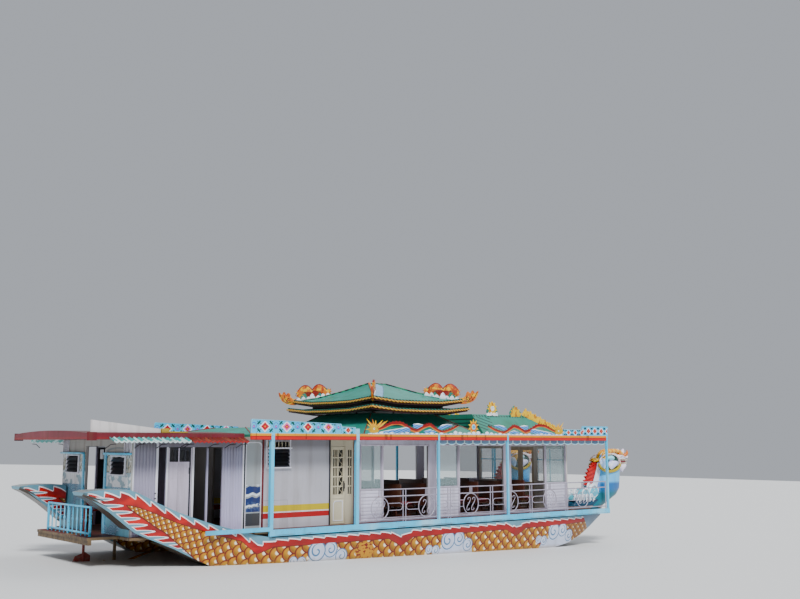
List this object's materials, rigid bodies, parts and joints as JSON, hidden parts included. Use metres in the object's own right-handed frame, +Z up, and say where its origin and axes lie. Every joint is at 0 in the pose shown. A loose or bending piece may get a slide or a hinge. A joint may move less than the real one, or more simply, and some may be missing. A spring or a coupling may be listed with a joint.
{
  "type": "twin-hulled river passenger dragon boat",
  "caption": "River passenger boat on painted hulls with dragon heads at the bow, an open-sided saloon, a pavilion roof, rudder, propeller and hinged doors.",
  "frame": {"origin": "under the middle of the boat, at the flat of the hull bottoms", "axes": "+X forward to the bow, +Y to port, +Z up"},
  "size_m": [18.35, 5, 4.86],
  "materials": {
    "hull_paint": "gloss scale paint, weathered",
    "deck_paint": "worn maroon paint",
    "engine_paint": "oily grey paint",
    "bronze": "cast, dull",
    "rudder_paint": "maroon paint, rubbed",
    "edge_blue": "gloss light blue paint",
    "rail_grey": "dull grey paint over steel",
    "wall_grey": "satin grey sheet",
    "door_paint": "satin beige and grey paint",
    "glass": "clear",
    "lining": "pale paint",
    "seat_cover": "dark red seat covers",
    "roof_maroon": "faded maroon sheet",
    "awning_green": "faded green sheet with pale scallops",
    "panel_white": "plain",
    "eave_paint": "yellow and red strip, light blue board",
    "valance_grey": "grey-blue scallops",
    "dragon_red": "painted cut-out sheet",
    "roof_green": "satin green roof",
    "dark_wood": "dark, in shade",
    "dragon_blue": "painted moulded shell"
  },
  "bodies": {
    "boat": {"hull_starboard": "hull_paint", "hull_port": "hull_paint", "deck_platform": "deck_paint", "engine_block": "engine_paint", "side_frame_starboard": "edge_blue", "side_frame_port": "edge_blue", "stern_balustrade": "edge_blue", "stern_wall": "edge_blue", "railing_starboard": "rail_grey", "railing_port": "rail_grey", "stern_side_wall_starboard": "wall_grey", "stern_side_wall_port": "wall_grey", "mid_side_wall_starboard": "wall_grey", "mid_side_wall_port": "wall_grey", "store_wall_starboard": "wall_grey", "store_wall_port": "wall_grey", "saloon_wall_starboard": "wall_grey", "saloon_wall_port": "wall_grey", "front_wall": "wall_grey", "window_pane_1_starboard": "glass", "window_pane_1_port": "glass", "window_pane_2_starboard": "glass", "window_pane_2_port": "glass", "window_pane_3_starboard": "glass", "window_pane_3_port": "glass", "galley_partition": "lining", "saloon_partition": "lining", "ceiling": "lining", "seat_bank_starboard": "seat_cover", "seat_bank_port": "seat_cover", "stern_roof": "roof_maroon", "mid_awning_starboard": "roof_maroon", "mid_awning_port": "roof_maroon", "stern_awning_starboard": "awning_green", "stern_awning_port": "awning_green", "roof_panel": "panel_white", "side_eave_board_starboard": "eave_paint", "side_eave_board_port": "eave_paint", "bow_eave_board": "eave_paint", "valance_starboard": "valance_grey", "valance_port": "valance_grey", "eave_dragons_starboard": "dragon_red", "eave_dragons_port": "dragon_red", "store_roof": "roof_green", "skirt_roof": "roof_green", "forward_roof": "roof_green", "pavilion_lower_roof": "roof_green", "pavilion_upper_roof": "roof_green", "pavilion_base": "dark_wood", "clerestory": "dark_wood", "dragon_head_starboard": "dragon_blue", "dragon_head_port": "dragon_blue"},
    "rudder": {"rudder": "rudder_paint"},
    "propeller": {"propeller": "bronze"},
    "grille_door_starboard": {"grille_door_starboard": "door_paint"},
    "grille_door_port": {"grille_door_port": "door_paint"},
    "side_door_starboard": {"side_door_starboard": "door_paint"},
    "side_door_port": {"side_door_port": "door_paint"},
    "front_door_starboard": {"front_door_starboard": "door_paint"},
    "front_door_port": {"front_door_port": "door_paint"}
  },
  "joints": [
    {"name": "rudder_turn", "type": "hinge", "parent": "boat", "child": "rudder", "pos_m": [-8.215, 0, 1.15], "axis": [0, 0, 1], "range_deg": [-35, 35]},
    {"name": "propeller_spin", "type": "hinge", "parent": "boat", "child": "propeller", "pos_m": [-7.665, 0, 0.29], "axis": [0.9612, 0, 0.2759], "continuous": true},
    {"name": "grille_door_swing_starboard", "type": "hinge", "parent": "boat", "child": "grille_door_starboard", "pos_m": [-6.56, -1.9, 2.1], "axis": [0, 0, -1], "range_deg": [0, 100]},
    {"name": "side_door_swing_starboard", "type": "hinge", "parent": "boat", "child": "side_door_starboard", "pos_m": [-2.67, -1.95, 2.1], "axis": [0, 0, -1], "range_deg": [0, 105]},
    {"name": "front_door_swing_starboard", "type": "hinge", "parent": "boat", "child": "front_door_starboard", "pos_m": [6.315, -0.595, 2.1], "axis": [0, 0, -1], "range_deg": [0, 95]},
    {"name": "grille_door_swing_port", "type": "hinge", "parent": "boat", "child": "grille_door_port", "pos_m": [-6.56, 1.9, 2.1], "axis": [0, 0, 1], "range_deg": [0, 100]},
    {"name": "side_door_swing_port", "type": "hinge", "parent": "boat", "child": "side_door_port", "pos_m": [-2.67, 1.95, 2.1], "axis": [0, 0, 1], "range_deg": [0, 105]},
    {"name": "front_door_swing_port", "type": "hinge", "parent": "boat", "child": "front_door_port", "pos_m": [6.315, 0.595, 2.1], "axis": [0, 0, 1], "range_deg": [0, 95]}
  ]
}
